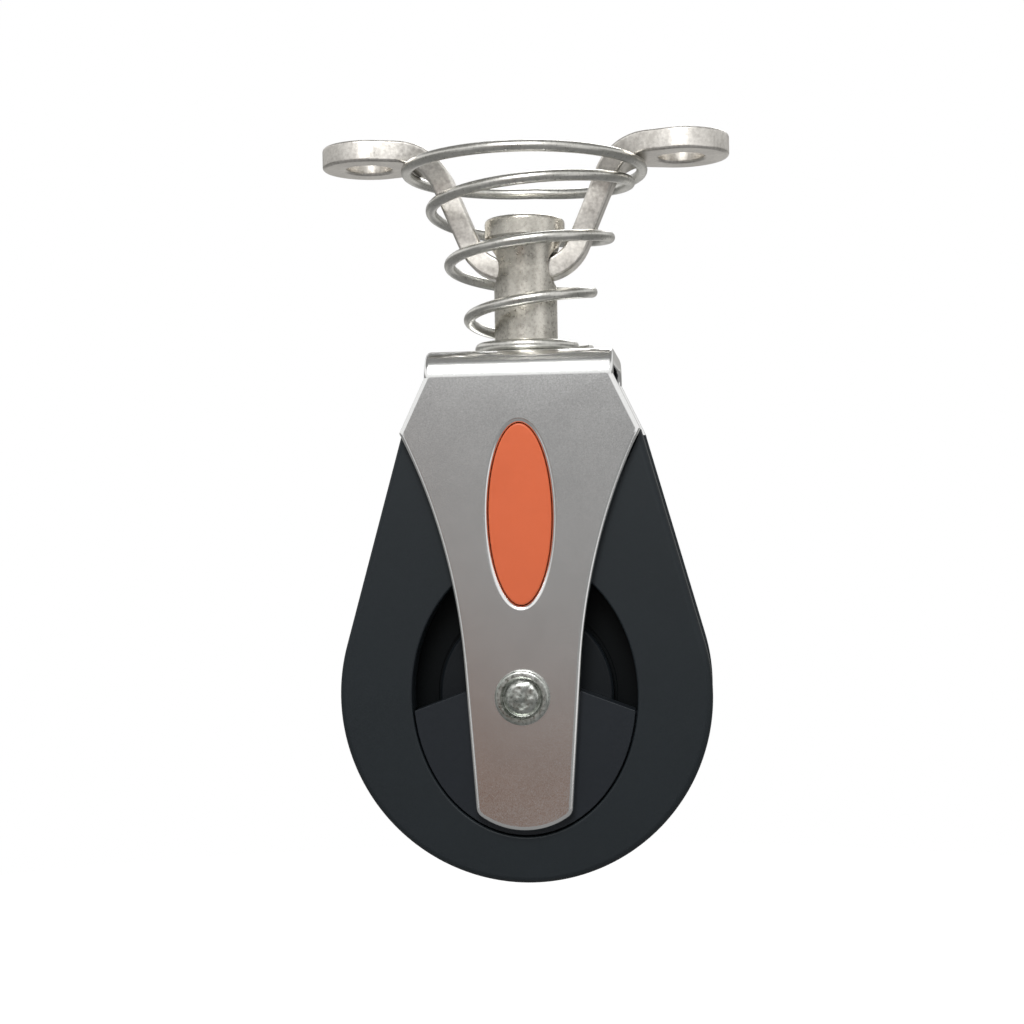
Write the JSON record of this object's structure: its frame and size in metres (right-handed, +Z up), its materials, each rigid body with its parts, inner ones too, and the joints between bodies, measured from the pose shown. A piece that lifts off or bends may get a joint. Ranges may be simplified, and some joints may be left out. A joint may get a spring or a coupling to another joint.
{
  "type": "single sheave block",
  "caption": "Stand-up single sheave block: black cheeks in a folded steel strap with an orange oval insert, on a swivel post held by a two-hole deck saddle with a conical spring.",
  "frame": {"origin": "middle between the saddle's two screw holes, in the deck face of its feet", "axes": "+Z up into the deck, X along the row of screw holes, -Y is the front, towards the camera of the picture; the block hangs below the origin"},
  "size_m": [0.05, 0.0296, 0.0888],
  "materials": {
    "saddle_steel": "satin",
    "post_steel": "satin",
    "spring_wire": "satin",
    "strap_steel": "polished",
    "rivet_steel": "hammered",
    "pin_steel": "turned",
    "cheek_plastic": "matt moulded",
    "hub_plastic": "matt moulded",
    "sheave_plastic": "matt moulded",
    "race_plastic": "satin moulded",
    "insert_plastic": "semi-gloss",
    "pale_plastic": "satin"
  },
  "bodies": {
    "saddle_body": {"saddle": "saddle_steel", "standup_spring": "spring_wire"},
    "post_body": {"swivel_post": "post_steel", "thrust_washer": "pale_plastic", "swivel_washer": "pin_steel"},
    "block_body": {"strap": "strap_steel", "front_insert": "insert_plastic", "rear_insert": "insert_plastic", "front_cheek": "cheek_plastic", "rear_cheek": "cheek_plastic", "front_hub_plate": "hub_plastic", "rear_hub_plate": "hub_plastic", "head_spacer": "hub_plastic", "front_inner_race": "race_plastic", "rear_inner_race": "race_plastic", "axle_sleeve": "pin_steel", "axle_rivet": "rivet_steel", "front_rivet_washer": "rivet_steel", "rear_rivet_washer": "rivet_steel"},
    "ball_set": {"front_ball_row": "pale_plastic", "rear_ball_row": "pale_plastic"},
    "sheave_body": {"sheave": "sheave_plastic"}
  },
  "joints": [
    {"name": "rock", "type": "hinge", "parent": "saddle_body", "child": "post_body", "pos_m": [0, 0, -0.01535], "axis": [1, 0, 0], "range_deg": [-35, 35], "stiffness_Nm_per_rad": 0.35, "deforming": ["standup_spring"]},
    {"name": "swivel", "type": "hinge", "parent": "post_body", "child": "block_body", "pos_m": [0, 0, -0.02605], "axis": [0, 0, 1], "continuous": true},
    {"name": "sheave_spin", "type": "hinge", "parent": "block_body", "child": "sheave_body", "pos_m": [0, 0, -0.06675], "axis": [0, 1, 0], "continuous": true},
    {"name": "ball_orbit", "type": "hinge", "parent": "block_body", "child": "ball_set", "pos_m": [0, 0, -0.06675], "axis": [0, 1, 0], "continuous": true}
  ],
  "couplings": [
    {"joint": "ball_orbit", "follows": "sheave_spin", "ratio": 0.593}
  ]
}
